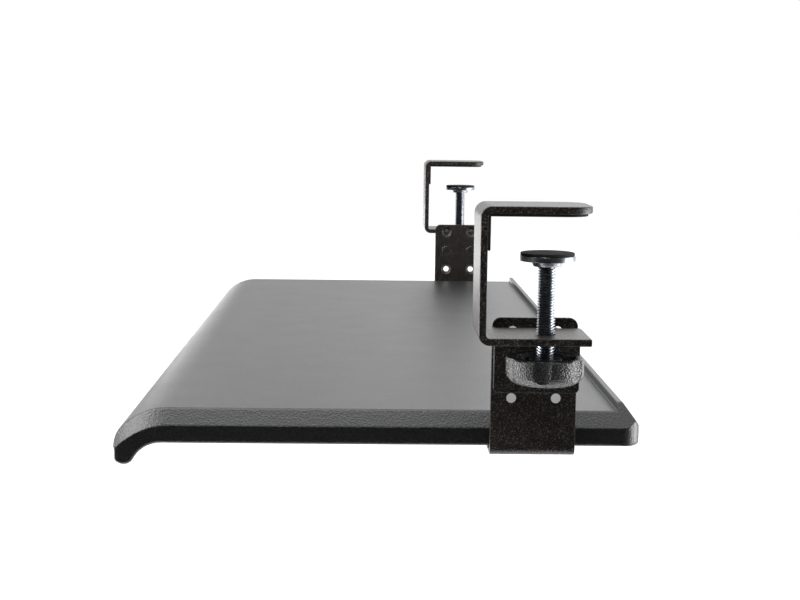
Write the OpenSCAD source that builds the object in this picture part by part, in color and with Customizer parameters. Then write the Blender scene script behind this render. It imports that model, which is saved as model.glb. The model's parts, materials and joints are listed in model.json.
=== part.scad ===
// Clamp-on sliding tray that hangs under the front edge of a table top.
// Millimetres. X runs along the tray, Y points under the table, Z is up.
// The origin is the top front edge of the table top, midway between the clamps.
// Drawn pulled out, with the bracket bolted at the middle of its three heights.

/* [Tray] */
// Length of the tray along X
tray_length = 670; // [500:5:800]
// Depth of the tray from its front face to its back face
tray_depth = 300; // [250:5:380]
// Height of the plain edge at both ends
edge_height = 18.9; // [18.9:0.1:24]
// Wall of the moulded shell
tray_wall = 3; // [2.5:0.1:4]
// Wall of the rolled front edge
front_wall = 4; // [3:0.1:6]
// Width of the bevel along both ends
bevel_width = 9; // [5:0.5:14]
// Drop of the bevel along both ends
bevel_drop = 8.5; // [4:0.5:11]
// Radius of the rolled top edge where the wrists rest
roll_radius = 37; // [32:0.5:60]
// Depth of the rolled edge, from the front face to the flat top
roll_depth = 30; // [20:0.5:31]
// Radius that turns the roll into the upright front face
nose_radius = 10; // [5:0.5:14]
// How far the front lip hangs below the plain edge
lip_drop = 12.5; // [9:0.5:14]
// Radius under the front lip
lip_radius = 6; // [4:0.5:8]
// Radius of the hollow sweep behind the lip
sweep_radius = 17.5; // [10:0.5:18]
// Height of the ridge along the back
ridge_height = 4.5; // [2:0.5:10]
// Width of the ridge's top
ridge_width = 3.4; // [2:0.1:6]
// Distance from the ridge's rear top edge to the back face
ridge_inset = 9.4; // [8:0.1:14]
// Plan radius of the back corners
back_corner = 12; // [6:1:20]
// Plan radius of the front corners
front_corner = 5; // [2:0.5:8]
// Thickness of the ribs under the top
rib_thickness = 2; // [1.5:0.1:3]
// Height of the ribs under the top
rib_height = 11; // [6:0.5:12]
// Height of the ribs that cross them
cross_rib_height = 4; // [2:0.5:6]
// Spacing of the ribs along X
rib_spacing = 90; // [60:5:140]
// Number of ribs that cross them
cross_ribs = 2; // [1:1:4]

/* [Position] */
// Table top surface down to the tray's top at the middle height
tray_drop = 115; // [112:1:125]
// Tray front face to the middle of the brackets, pulled out
bracket_setback = 236.5; // [180:0.5:237]
// Air between each end of the tray and the bracket plate
side_gap = 6; // [4:0.5:12]
// Sliding travel from pulled out to pushed in
travel_length = 180; // [100:5:180]

/* [Clamp] */
// Width of the strap along X
strap_width = 46; // [44:1:60]
// Thickness of the strap
strap_thickness = 4; // [3:0.5:5]
// Reach of both arms from the strap's front face
arm_reach = 60; // [56:1:80]
// Lining underside down to the lower arm
throat_height = 64; // [60:0.1:68]
// Outside radius of the strap's bends
bend_radius = 6; // [5:0.5:9]
// Plan radius at the upper arm's tip
tip_radius = 13; // [5:1:20]
// Thickness of the soft lining
lining_thickness = 1.5; // [1:0.1:3]
// How far the lining runs down inside the strap
lining_drop = 18; // [10:1:30]
// Bottom of the tab below the middle row of holes
tab_below_row = 15.5; // [10:0.5:16]

/* [Clamp screw] */
// Thickness of the table top that is gripped at rest
grip_thickness = 20; // [12:1:30]
// Diameter of the screw
screw_diameter = 10; // [8:1:12]
// Radial clearance of turning parts
turn_clearance = 0.05; // [0.02:0.01:0.1]
// Lower arm down to the knob's rim
knob_gap = 8.5; // [8:0.1:14]
// Diameter of the knob over its lobes
knob_diameter = 42; // [36:1:44]
// Height of the knob
knob_height = 14.5; // [14:0.5:22]
// Rounding under the knob
knob_rounding = 7; // [2:0.5:7]
// Number of lobes
knob_lobes = 6; // [5:1:9]
// Depth of the hollows between lobes
hollow_depth = 1.6; // [0.5:0.1:3]
// Nut across flats
nut_flats = 17; // [17:0.5:19]
// Nut height
nut_height = 8; // [5:0.5:8]
// Diameter of the pressure foot
foot_diameter = 30; // [20:1:32]
// Height of the steel foot without its soft face
foot_height = 6; // [5:0.5:8]
// Thickness of the foot's soft face
face_thickness = 1.5; // [1:0.1:3]
// Air between the knob and the tab
knob_tab_gap = 2; // [1:0.5:6]
// Screw axis behind the middle of the bracket
screw_setback = 2.5; // [0:0.5:4]

/* [Bracket] */
// Thickness of the bracket plate
plate_thickness = 2.5; // [2:0.1:4]
// Width of the bracket along Y
bracket_width = 48; // [46:1:54]
// Spacing of the hole columns
hole_spacing = 25; // [20:1:28]
// Spacing of the height rows
row_pitch = 19; // [15:0.5:19]
// Middle row above the tray's top
row_above_tray = 29.5; // [27:0.5:36]
// Diameter of the bracket holes
hole_diameter = 5.5; // [5.5:0.1:6.5]
// Plate top above the top row
plate_margin = 7.5; // [6:0.5:12]
// Radius of the plate's top corners
plate_corner = 5; // [1:0.5:6]
// Inside radius of the bracket's folds
fold_radius = 1.5; // [1:0.1:3]
// Inner face of the plate to the far face of the inner web
web_setback = 23; // [22:0.5:26]
// Diameter of the screws that set the height
bolt_diameter = 5; // [4:0.5:5]
// Diameter of the countersinks around the bracket holes
sink_diameter = 10; // [9.5:0.1:11]
// Air between the tray's edge and the bracket's floor
floor_gap = 1.1; // [0.5:0.1:2]

/* [Rollers and rails] */
// Roller diameter
roller_diameter = 10.4; // [9:0.1:10.4]
// Roller width
roller_width = 8.6; // [5:0.1:10]
// Roller spacing along Y
roller_spacing = 33; // [20:1:34]
// Axle diameter
axle_diameter = 4; // [3:0.5:5]
// Gap above the rollers where the rail rides
ride_gap = 0.05; // [0.02:0.01:0.1]
// Play below the rollers
under_play = 0.4; // [0.2:0.05:0.6]
// Thickness of the rail
rail_wall = 1.5; // [1.2:0.1:1.5]
// Width of the rail's screw flange
rail_flange = 14.5; // [12:0.5:18]
// Thickness of the seat moulded over each rail
seat_thickness = 2; // [1.5:0.1:2]
// Tray front face to the front end of the rails
rail_front_margin = 27; // [20:1:29]
// Rear end of the rails to the tray's back face
rail_back_margin = 8; // [6:1:14]
// Length of the end stops
stop_length = 6; // [4:0.5:8]
// Gap between a roller and its stop at the end of travel
stop_gap = 0.3; // [0.2:0.1:1]

/* [Hidden] */
$fn = 96;

// How far cuts run past a face, and shapes that are trimmed later past their trim
past = 1;
trim = 40;
// Edge break of turned pieces
edge_break = 0.8;

end_x = tray_length / 2;
plate_in_x = end_x + side_gap;
strap_x = plate_in_x + plate_thickness;
strap_in_y = -lining_thickness;
strap_front_y = strap_in_y - strap_thickness;
arm_tip_y = strap_front_y + arm_reach;
arm_top_z = lining_thickness + strap_thickness;
low_arm_z = -throat_height;
low_arm_under_z = low_arm_z - strap_thickness;
inner_bend = bend_radius - strap_thickness;

bracket_inset = 1;
bracket_y = arm_tip_y - bracket_inset - bracket_width / 2;
tray_front_y = bracket_y - bracket_setback;
tray_z = -tray_drop;
row_z = tray_z + row_above_tray;
plate_top_z = row_z + row_pitch + plate_margin;
floor_top_z = tray_z - edge_height - floor_gap;
floor_z = floor_top_z - plate_thickness;
tab_width = bracket_width;
tab_corner = 3;
tab_bottom_z = row_z - tab_below_row;

screw_radius = screw_diameter / 2;
screw_x = strap_x + strap_thickness + knob_tab_gap + knob_diameter / 2;
screw_y = bracket_y + screw_setback;
foot_top_z = -grip_thickness - face_thickness;
foot_z = foot_top_z - foot_height;
tip_bore_radius = 0.36 * screw_diameter;
tip_bore_depth = foot_height - 2;
knob_top_z = low_arm_under_z - knob_gap;
knob_z = knob_top_z - knob_height;
knob_floor = 3;
rim_width = 4.5;
rim_depth = 2.5;
rim_round = 1;
nut_top_z = knob_top_z - 0.5;
nut_z = nut_top_z - nut_height;
hollow_radius = 12;
hollow_angle = -10;
foot_disc = 3;
lining_inset = 2;

seat_z = tray_z - tray_wall - seat_thickness;
track_z = seat_z - rail_wall;
roller_z = track_z - ride_gap - roller_diameter / 2;
lower_track_z = roller_z - roller_diameter / 2 - under_play;
rail_z = lower_track_z - rail_wall;
web_x = plate_in_x - web_setback;
web_out_x = web_x + plate_thickness;
web_top_z = seat_z - 0.5;
rail_edge_x = web_x - 1;
roller_side_gap = 0.1;
roller_chamfer = 0.6;
collar_length = 2.4;
roller_out_x = web_x - collar_length - roller_side_gap;
roller_in_x = roller_out_x - roller_width;
axle_head = 1.1;
pin_clearance = 0.02;
axle_in_x = roller_in_x - roller_side_gap - axle_head;
axle_head_radius = axle_diameter / 2 + 1.7;
collar_radius = axle_diameter / 2 + 1.2;
rivet_height = 0.7;
rail_web_x = axle_in_x - 0.8;
rail_in_x = rail_web_x - rail_wall - rail_flange;
rail_start_y = tray_front_y + rail_front_margin;
rail_end_y = tray_front_y + tray_depth - rail_back_margin;
rail_length = rail_end_y - rail_start_y;
stop_front_y = bracket_y - roller_spacing / 2 - roller_diameter / 2 - travel_length - stop_gap;
stop_rear_y = bracket_y + roller_spacing / 2 + roller_diameter / 2 + stop_gap;
rail_screw_x = rail_in_x + rail_flange / 2;
rail_screw_count = 4;
rail_screw_margin = 16;
rail_screw_step = (rail_length - 2 * rail_screw_margin) / (rail_screw_count - 1);
rail_screw_radius = 1.75;
rail_screw_head = 3.4;
rail_screw_head_height = 1.6;
rail_screw_crown = 0.8;
rail_screw_slot = 0.8;
rail_screw_bite = seat_thickness + 1.6;
stop_notch = 2.5;
stop_x = rail_edge_x - 1;
bolt_radius = bolt_diameter / 2;
bolt_head_radius = sink_diameter / 2 - 0.1;
bolt_x = strap_x + strap_thickness + 1;
socket_flats = 3;
socket_depth = 1.8;

rib_reach = rail_in_x - 1;
rib_steps = floor(rib_reach / rib_spacing);
rib_margin = 8;
rib_front_y = roll_depth - rib_margin;
rib_back_y = tray_depth - tray_wall - rib_margin;
plan_spare = 10;
plan_top = ridge_height + plan_spare;
bevel_roll = 54;
bevel_roll_y = roll_depth + 2;
bevel_angle = atan(bevel_drop / bevel_width);
nose_rise = sqrt(pow(roll_radius - nose_radius, 2) - pow(roll_depth - nose_radius, 2));
nose_z = -roll_radius + nose_rise;
nose_y = roll_depth - roll_radius * (roll_depth - nose_radius) / (roll_radius - nose_radius);
lip_z = -edge_height - lip_drop + lip_radius;
sweep_z = -edge_height - sweep_radius;
sweep_y = lip_radius + sqrt(pow(lip_radius + sweep_radius - 0.02, 2) - pow(sweep_z - lip_z, 2));

// Extrudes a shape drawn in Y and Z along X, centred on X = 0.
module along_x(length) {
  rotate([90, 0, 90]) linear_extrude(height = length, center = true) children();
}

// Extrudes a shape drawn in X and Z along Y, from y0 on.
module along_y(y0, length) {
  translate([0, y0 + length, 0]) rotate([90, 0, 0]) linear_extrude(height = length) children();
}

// Rectangle with four rounded corners.
module round_box(x0, y0, x1, y1, r) {
  translate([x0 + r, y0]) square([x1 - x0 - 2 * r, y1 - y0]);
  translate([x0, y0 + r]) square([x1 - x0, y1 - y0 - 2 * r]);
  for (x = [x0 + r, x1 - r]) {
    for (y = [y0 + r, y1 - r]) translate([x, y]) circle(r);
  }
}

// Rod along X from x0 to x1.
module rod_x(x0, x1, y, z, r) {
  translate([x0, y, z]) rotate([0, 90, 0]) cylinder(h = x1 - x0, r = r);
}

// Cone along X from x0 to x1.
module cone_x(x0, x1, y, z, r0, r1) {
  translate([x0, y, z]) rotate([0, 90, 0]) cylinder(h = x1 - x0, r1 = r0, r2 = r1);
}

// Space in front of the rolled edge, for a roll and a nose drawn smaller by inset.
module roll_space(inset) {
  difference() {
    translate([inset - past, nose_z]) square([roll_depth + past - inset, past - nose_z]);
    intersection() {
      translate([roll_depth, -roll_radius]) circle(roll_radius - inset);
      translate([nose_y + inset * (1 - nose_y / nose_radius), -2 * roll_radius]) square(2 * roll_radius);
    }
    translate([nose_radius, nose_z]) circle(nose_radius - inset);
  }
}

// Tray section: flat top, rolled front, hanging lip and back ridge.
module tray_section() {
  ridge_y = tray_depth - ridge_inset;
  difference() {
    union() {
      polygon([
        [0, -edge_height], [0, 0],
        [ridge_y - ridge_width, 0], [ridge_y - ridge_width, ridge_height],
        [ridge_y, ridge_height], [tray_depth, -bevel_drop], [tray_depth, -edge_height]
      ]);
      difference() {
        union() {
          translate([0, lip_z]) square([sweep_y, lip_drop]);
          translate([lip_radius, lip_z]) circle(lip_radius);
          polygon([
            [lip_radius, lip_z + past], [lip_radius, lip_z],
            [sweep_y, sweep_z], [sweep_y, lip_z + past]
          ]);
        }
        translate([sweep_y, sweep_z]) circle(sweep_radius);
      }
    }
    roll_space(0);
  }
}

// Hollow of the tray, open underneath.
module hollow_section() {
  slope = (bevel_drop + ridge_height) / ridge_inset;
  back = tray_depth - tray_wall;
  back_z = -bevel_drop - tray_wall;
  deep = edge_height + lip_drop + past;
  difference() {
    polygon([
      [front_wall, -deep], [front_wall, -tray_wall],
      [back + (back_z + tray_wall) / slope, -tray_wall], [back, back_z], [back, -deep]
    ]);
    roll_space(front_wall);
  }
}

// Upright block with the tray's rounded plan outline, taller than the tray.
module tray_plan(shrink) {
  x = end_x - shrink;
  y0 = shrink;
  y1 = tray_depth - shrink;
  rf = front_corner;
  rb = back_corner - shrink;
  bottom = edge_height + lip_drop + plan_spare;
  translate([0, 0, -bottom]) linear_extrude(height = bottom + plan_top) {
    translate([-x, y0 + rf]) square([2 * x, y1 - y0 - rf - rb]);
    translate([-x + rf, y0]) square([2 * x - 2 * rf, rf + past]);
    translate([-x + rb, y1 - rb - past]) square([2 * x - 2 * rb, rb + past]);
    for (s = [-1, 1]) {
      translate([s * (x - rf), y0 + rf]) circle(rf);
      translate([s * (x - rb), y1 - rb]) circle(rb);
    }
  }
}

// Everything under the end bevel of the right side, following the roll at the front.
module bevel_space(depth) {
  under = 1.5 * tray_length;
  translate([end_x - bevel_width, 0, 0]) rotate([0, bevel_angle, 0]) translate([0, 0, -depth])
    along_x(2 * under) difference() {
      translate([-trim, -under]) square([tray_depth + 2 * trim, under]);
      difference() {
        translate([-past, -bevel_roll_y / 2]) square([bevel_roll_y + past, bevel_roll_y / 2 + past]);
        translate([bevel_roll_y, -bevel_roll]) circle(bevel_roll);
      }
    }
}

module tray_body() {
  difference() {
    intersection() {
      along_x(tray_length + 2 * past) tray_section();
      tray_plan(0);
      bevel_space(0);
      mirror([1, 0, 0]) bevel_space(0);
    }
    intersection() {
      along_x(tray_length) hollow_section();
      tray_plan(tray_wall);
      bevel_space(tray_wall);
      mirror([1, 0, 0]) bevel_space(tray_wall);
    }
  }
}

module rail_seats() {
  for (s = [-1, 1]) {
    x0 = s > 0 ? rail_in_x : -rail_edge_x;
    translate([x0, rail_start_y - tray_front_y, -tray_wall - seat_thickness])
      cube([rail_edge_x - rail_in_x, rail_length, seat_thickness + tray_wall / 2]);
  }
}

module tray_ribs() {
  root = tray_wall / 2;
  for (k = [-rib_steps:rib_steps]) {
    translate([k * rib_spacing - rib_thickness / 2, rib_front_y, -tray_wall - rib_height])
      cube([rib_thickness, rib_back_y - rib_front_y, rib_height + root]);
  }
  for (k = [1:cross_ribs]) {
    y = k * tray_depth / (cross_ribs + 1);
    translate([-rib_reach, y - rib_thickness / 2, -tray_wall - cross_rib_height])
      cube([2 * rib_reach, rib_thickness, cross_rib_height + root]);
  }
}

// Where the rail screws sit, seen from the table edge's origin.
module at_rail_screws() {
  for (k = [0:rail_screw_count - 1]) {
    translate([rail_screw_x, rail_start_y + rail_screw_margin + k * rail_screw_step, 0]) children();
  }
}

module tray_top() {
  color([0.13, 0.13, 0.14]) difference() {
    translate([0, tray_front_y, tray_z]) {
      tray_body();
      rail_seats();
      tray_ribs();
    }
    for (m = [0, 1]) mirror([m, 0, 0]) at_rail_screws()
      translate([0, 0, seat_z - past]) cylinder(h = rail_screw_bite + 0.2 + past, r = rail_screw_radius);
  }
}

// The strap: an upper arm over the table, an upright, and a lower arm with a tab bent down.
module strap_profile() {
  difference() {
    round_box(strap_front_y, low_arm_under_z, arm_tip_y + trim, arm_top_z, bend_radius);
    round_box(strap_in_y, low_arm_z, arm_tip_y + 2 * trim, lining_thickness, inner_bend);
    translate([arm_tip_y, low_arm_under_z - past]) square([2 * trim, arm_top_z - low_arm_under_z + 2 * past]);
  }
}

module tab_profile() {
  difference() {
    round_box(strap_x, tab_bottom_z - trim, strap_x + trim, low_arm_z, bend_radius);
    round_box(strap_x + strap_thickness, tab_bottom_z - 2 * trim,
      strap_x + 2 * trim, low_arm_under_z, inner_bend);
    translate([strap_x - past, tab_bottom_z - 2 * trim]) square([3 * trim, 2 * trim]);
    translate([strap_x + bend_radius, tab_bottom_z - past]) square([3 * trim, 3 * trim]);
  }
}

module arm_tip(x0, x1) {
  round_box(x0, strap_front_y - trim, x1, arm_tip_y, tip_radius);
}

module clamp_strap() {
  tab_y = arm_tip_y - tab_width;
  color([0.10, 0.10, 0.11]) difference() {
    union() {
      difference() {
        translate([strap_x + strap_width / 2, 0, 0]) along_x(strap_width) strap_profile();
        translate([strap_x - past, tab_y, low_arm_under_z - past])
          cube([bend_radius + past, tab_width + past, strap_thickness + 2 * past]);
        difference() {
          translate([strap_x - past, 0, lining_thickness - past / 2])
            cube([strap_width + 2 * past, arm_tip_y + past, strap_thickness + past]);
          translate([0, 0, -past]) linear_extrude(height = arm_top_z + 2 * past)
            arm_tip(strap_x, strap_x + strap_width);
        }
      }
      intersection() {
        along_y(tab_y, tab_width) tab_profile();
        translate([strap_x, 0, 0]) along_x(2 * trim)
          round_box(tab_y, tab_bottom_z, arm_tip_y, low_arm_z + trim, tab_corner);
      }
    }
    translate([screw_x, screw_y, low_arm_under_z - past])
      cylinder(h = strap_thickness + 2 * past, r = screw_radius + turn_clearance);
    for (dy = [-0.5, 0.5]) {
      rod_x(strap_x - past, bolt_x, bracket_y + dy * hole_spacing, row_z, bolt_radius);
    }
  }
}

module jaw_lining() {
  width = strap_width - 2 * lining_inset;
  color([0.16, 0.16, 0.17]) intersection() {
    translate([strap_x + strap_width / 2, 0, 0]) along_x(width) difference() {
      round_box(strap_in_y, -lining_drop - trim, arm_tip_y + trim, lining_thickness, inner_bend);
      translate([0, -lining_drop - 2 * trim]) square([arm_tip_y + 2 * trim, lining_drop + 2 * trim]);
      translate([-trim, -lining_drop - 2 * trim]) square([2 * trim, 2 * trim]);
    }
    translate([0, 0, -lining_drop - past]) linear_extrude(height = lining_drop + trim)
      translate([0, -lining_inset]) arm_tip(strap_x + lining_inset, strap_x + lining_inset + width);
  }
}

// Folded bracket: plate with three rows of holes, floor under the tray's edge, inner web.
module bracket_profile() {
  difference() {
    round_box(web_x, floor_z, strap_x, plate_top_z + trim, fold_radius + plate_thickness);
    round_box(web_out_x, floor_top_z, plate_in_x, plate_top_z + 2 * trim, fold_radius);
    translate([web_x - past, plate_top_z]) square([web_setback + trim, 2 * trim]);
    translate([web_x - past, web_top_z]) square([plate_thickness + 2 * past, plate_top_z + trim - web_top_z]);
  }
}

module slide_bracket() {
  y0 = bracket_y - bracket_width / 2;
  sink = (sink_diameter - hole_diameter) / 2;
  color([0.11, 0.11, 0.11]) difference() {
    intersection() {
      along_y(y0, bracket_width) bracket_profile();
      translate([strap_x - web_setback / 2, 0, 0]) along_x(2 * trim)
        round_box(y0, floor_z - trim, y0 + bracket_width, plate_top_z, plate_corner);
    }
    for (dy = [-0.5, 0.5]) {
      for (row = [-1:1]) {
        y = bracket_y + dy * hole_spacing;
        z = row_z + row * row_pitch;
        rod_x(plate_in_x - past, strap_x + past, y, z, hole_diameter / 2);
        cone_x(plate_in_x - 0.01, plate_in_x + sink, y, z, sink_diameter / 2 + 0.01, hole_diameter / 2);
      }
      rod_x(web_x - past, web_out_x + past, bracket_y + dy * roller_spacing, roller_z,
        axle_diameter / 2 + pin_clearance);
    }
  }
}

// Countersunk screws that bolt the bracket to the tab.
module height_screws() {
  head = bolt_head_radius - bolt_radius;
  color([0.62, 0.63, 0.64]) for (dy = [-0.5, 0.5]) {
    y = bracket_y + dy * hole_spacing;
    difference() {
      union() {
        cone_x(plate_in_x, plate_in_x + head, y, row_z, bolt_head_radius, bolt_radius);
        rod_x(plate_in_x + head / 2, bolt_x - edge_break / 2, y, row_z, bolt_radius);
        cone_x(bolt_x - edge_break / 2, bolt_x, y, row_z, bolt_radius, bolt_radius - edge_break / 2);
      }
      translate([plate_in_x - past, y, row_z]) rotate([0, 90, 0])
        cylinder(h = socket_depth + past, r = socket_flats / 2 / cos(30), $fn = 6);
    }
  }
}

// Riveted pins that carry the rollers.
module roller_axles() {
  r = axle_diameter / 2;
  rivet_x = web_out_x + rivet_height;
  color([0.66, 0.66, 0.67]) for (dy = [-0.5, 0.5]) {
    y = bracket_y + dy * roller_spacing;
    rod_x(axle_in_x, rivet_x + rivet_height / 2, y, roller_z, r);
    rod_x(axle_in_x, axle_in_x + axle_head, y, roller_z, axle_head_radius);
    rod_x(web_x - collar_length, web_x, y, roller_z, collar_radius);
    rod_x(web_out_x, rivet_x, y, roller_z, axle_head_radius);
    cone_x(rivet_x, rivet_x + rivet_height, y, roller_z, axle_head_radius, axle_head_radius - 1);
  }
}

module roller(y) {
  r = roller_diameter / 2;
  flat = r - roller_chamfer;
  color([0.82, 0.82, 0.80]) difference() {
    union() {
      rod_x(roller_in_x + roller_chamfer, roller_out_x - roller_chamfer, y, roller_z, r);
      cone_x(roller_in_x, roller_in_x + roller_chamfer, y, roller_z, flat, r);
      cone_x(roller_out_x - roller_chamfer, roller_out_x, y, roller_z, r, flat);
    }
    rod_x(roller_in_x - past, roller_out_x + past, y, roller_z, axle_diameter / 2 + turn_clearance);
  }
}

module roller_front() {
  roller(bracket_y - roller_spacing / 2);
}

module roller_rear() {
  roller(bracket_y + roller_spacing / 2);
}

// Rail: a channel open to the outside, with a flange that is screwed up into the tray.
module rail() {
  color([0.58, 0.59, 0.60]) difference() {
    along_y(rail_start_y, rail_length) {
      translate([rail_in_x, track_z]) square([rail_edge_x - rail_in_x, rail_wall]);
      translate([rail_web_x - rail_wall, rail_z]) square([rail_wall, track_z - rail_z + rail_wall / 2]);
      translate([rail_web_x - rail_wall, rail_z]) square([rail_edge_x - rail_web_x + rail_wall, rail_wall]);
    }
    at_rail_screws() translate([0, 0, track_z - past])
      cylinder(h = rail_wall + 2 * past, r = rail_screw_radius + 0.15);
  }
}

module rail_screws() {
  crown_z = track_z - rail_screw_head_height;
  color([0.64, 0.64, 0.65]) at_rail_screws() difference() {
    union() {
      translate([0, 0, crown_z]) cylinder(h = rail_screw_head_height, r = rail_screw_head);
      translate([0, 0, crown_z - rail_screw_crown])
        cylinder(h = rail_screw_crown, r1 = rail_screw_head - 1, r2 = rail_screw_head);
      translate([0, 0, crown_z]) cylinder(h = seat_z + rail_screw_bite - crown_z, r = rail_screw_radius);
    }
    for (a = [0, 90]) rotate([0, 0, a])
      translate([-rail_screw_head / 2, -rail_screw_slot / 2, crown_z - rail_screw_crown - past])
        cube([rail_screw_head, rail_screw_slot, rail_screw_crown + rail_screw_head_height / 4 + past]);
  }
}

// Moulded stops in each rail, one for each end of the travel.
module rail_stops() {
  color([0.20, 0.20, 0.21]) for (y0 = [stop_front_y - stop_length, stop_rear_y]) {
    along_y(y0, stop_length) difference() {
      translate([rail_web_x, lower_track_z]) square([stop_x - rail_web_x, track_z - lower_track_z]);
      translate([stop_x, (lower_track_z + track_z) / 2]) circle(stop_notch);
    }
  }
}

module clamp_screw() {
  end_z = knob_z + knob_floor;
  shoulder_z = foot_z - turn_clearance;
  color([0.72, 0.73, 0.74]) translate([screw_x, screw_y, 0]) {
    translate([0, 0, end_z]) cylinder(h = shoulder_z - end_z - edge_break, r = screw_radius);
    translate([0, 0, shoulder_z - edge_break])
      cylinder(h = edge_break, r1 = screw_radius, r2 = screw_radius - edge_break);
    translate([0, 0, shoulder_z - edge_break / 2])
      cylinder(h = tip_bore_depth + edge_break / 4, r = tip_bore_radius - turn_clearance);
  }
}

module knob_solid() {
  r = knob_diameter / 2;
  rotate_extrude() {
    translate([0, knob_rounding]) square([r, knob_height - knob_rounding - rim_round]);
    square([r - knob_rounding, knob_height]);
    translate([r - knob_rounding, knob_rounding]) circle(knob_rounding);
    translate([0, knob_height - rim_round]) square([r - rim_round, rim_round]);
    translate([r - rim_round, knob_height - rim_round]) circle(rim_round);
  }
}

// Lobed knob with a rim around its top and a six-sided pocket for the nut.
module knob() {
  r = knob_diameter / 2;
  color([0.09, 0.09, 0.09]) translate([screw_x, screw_y, 0]) difference() {
    translate([0, 0, knob_z]) knob_solid();
    for (k = [0:knob_lobes - 1]) rotate([0, 0, hollow_angle + k * 360 / knob_lobes])
      translate([r - hollow_depth + hollow_radius, 0, knob_z - past])
        cylinder(h = knob_height + 2 * past, r = hollow_radius);
    translate([0, 0, knob_top_z - rim_depth]) cylinder(h = rim_depth + past, r = r - rim_width);
    translate([0, 0, nut_z])
      cylinder(h = nut_height + past, r = (nut_flats / 2 + turn_clearance) / cos(30), $fn = 6);
    translate([0, 0, knob_z + knob_floor]) cylinder(h = knob_height, r = screw_radius + turn_clearance);
  }
}

module knob_nut() {
  corner = nut_flats / 2 / cos(30);
  color([0.70, 0.71, 0.72]) translate([screw_x, screw_y, 0]) difference() {
    intersection() {
      translate([0, 0, nut_z]) cylinder(h = nut_height, r = corner, $fn = 6);
      union() {
        translate([0, 0, nut_z]) cylinder(h = nut_height - edge_break, r = corner);
        translate([0, 0, nut_top_z - edge_break])
          cylinder(h = edge_break, r1 = corner, r2 = corner - 1.5 * edge_break);
      }
    }
    translate([0, 0, nut_z - past]) cylinder(h = nut_height + 2 * past, r = screw_radius + turn_clearance);
  }
}

// Foot that bears on the underside of the table and stays still while the screw turns in it.
module pressure_foot() {
  r = foot_diameter / 2;
  color([0.60, 0.60, 0.61]) translate([screw_x, screw_y, 0]) difference() {
    union() {
      translate([0, 0, foot_top_z - foot_disc]) cylinder(h = foot_disc, r = r);
      translate([0, 0, foot_z])
        cylinder(h = foot_height - foot_disc + past, r1 = screw_radius + 2.5, r2 = screw_radius + 4);
    }
    translate([0, 0, foot_z - past]) cylinder(h = tip_bore_depth + past, r = tip_bore_radius);
  }
}

module foot_face() {
  color([0.15, 0.15, 0.15]) translate([screw_x, screw_y, foot_top_z])
    cylinder(h = face_thickness, r = foot_diameter / 2 - 0.5);
}

tray_top();
clamp_strap();  // clamp_strap_right
mirror([1, 0, 0]) clamp_strap();  // clamp_strap_left
jaw_lining();  // jaw_lining_right
mirror([1, 0, 0]) jaw_lining();  // jaw_lining_left
slide_bracket();  // slide_bracket_right
mirror([1, 0, 0]) slide_bracket();  // slide_bracket_left
height_screws();  // height_screws_right
mirror([1, 0, 0]) height_screws();  // height_screws_left
roller_axles();  // roller_axles_right
mirror([1, 0, 0]) roller_axles();  // roller_axles_left
roller_front();  // roller_front_right
mirror([1, 0, 0]) roller_front();  // roller_front_left
roller_rear();  // roller_rear_right
mirror([1, 0, 0]) roller_rear();  // roller_rear_left
rail();  // rail_right
mirror([1, 0, 0]) rail();  // rail_left
rail_screws();  // rail_screws_right
mirror([1, 0, 0]) rail_screws();  // rail_screws_left
rail_stops();  // rail_stops_right
mirror([1, 0, 0]) rail_stops();  // rail_stops_left
clamp_screw();  // clamp_screw_right
mirror([1, 0, 0]) clamp_screw();  // clamp_screw_left
knob();  // knob_right
mirror([1, 0, 0]) knob();  // knob_left
knob_nut();  // knob_nut_right
mirror([1, 0, 0]) knob_nut();  // knob_nut_left
pressure_foot();  // pressure_foot_right
mirror([1, 0, 0]) pressure_foot();  // pressure_foot_left
foot_face();  // foot_face_right
mirror([1, 0, 0]) foot_face();  // foot_face_left
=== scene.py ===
import json
import math

import bmesh
import bpy
from mathutils import Matrix, Vector
from mathutils.geometry import intersect_line_line_2d

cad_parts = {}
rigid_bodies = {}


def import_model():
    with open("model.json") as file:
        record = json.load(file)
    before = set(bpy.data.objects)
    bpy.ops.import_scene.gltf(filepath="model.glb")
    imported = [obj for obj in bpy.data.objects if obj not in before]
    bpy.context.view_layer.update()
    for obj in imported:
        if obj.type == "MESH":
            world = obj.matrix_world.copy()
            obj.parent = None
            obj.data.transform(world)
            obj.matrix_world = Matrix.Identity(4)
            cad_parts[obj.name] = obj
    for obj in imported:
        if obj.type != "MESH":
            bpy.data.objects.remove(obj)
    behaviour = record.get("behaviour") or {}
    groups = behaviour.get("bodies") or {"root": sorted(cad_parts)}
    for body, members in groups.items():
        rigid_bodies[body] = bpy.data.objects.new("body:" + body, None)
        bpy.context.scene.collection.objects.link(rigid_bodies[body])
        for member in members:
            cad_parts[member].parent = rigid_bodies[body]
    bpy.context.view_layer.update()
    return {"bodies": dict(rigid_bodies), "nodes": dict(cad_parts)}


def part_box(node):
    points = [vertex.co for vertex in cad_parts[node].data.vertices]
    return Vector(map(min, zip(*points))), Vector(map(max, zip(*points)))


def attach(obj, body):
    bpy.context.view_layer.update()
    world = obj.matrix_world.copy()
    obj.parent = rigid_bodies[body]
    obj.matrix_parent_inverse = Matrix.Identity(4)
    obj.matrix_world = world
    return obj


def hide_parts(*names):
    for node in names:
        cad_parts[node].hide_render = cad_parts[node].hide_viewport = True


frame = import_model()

mm = 0.001
mergeNear = 0.002 * mm       # doubles in a copied mesh
mergeMade = 0.004 * mm       # doubles in a mesh made here
creaseAngle = 32             # degrees, edges up to this are shaded smooth
noiseSpan = (0.3, 0.7)       # where most values of a noise lie
cellSpan = (0.1, 0.8)        # the same for cells
sides = {"right": 1, "left": -1}
print("stage: frame loaded with", len(frame["nodes"]), "nodes")


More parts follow.
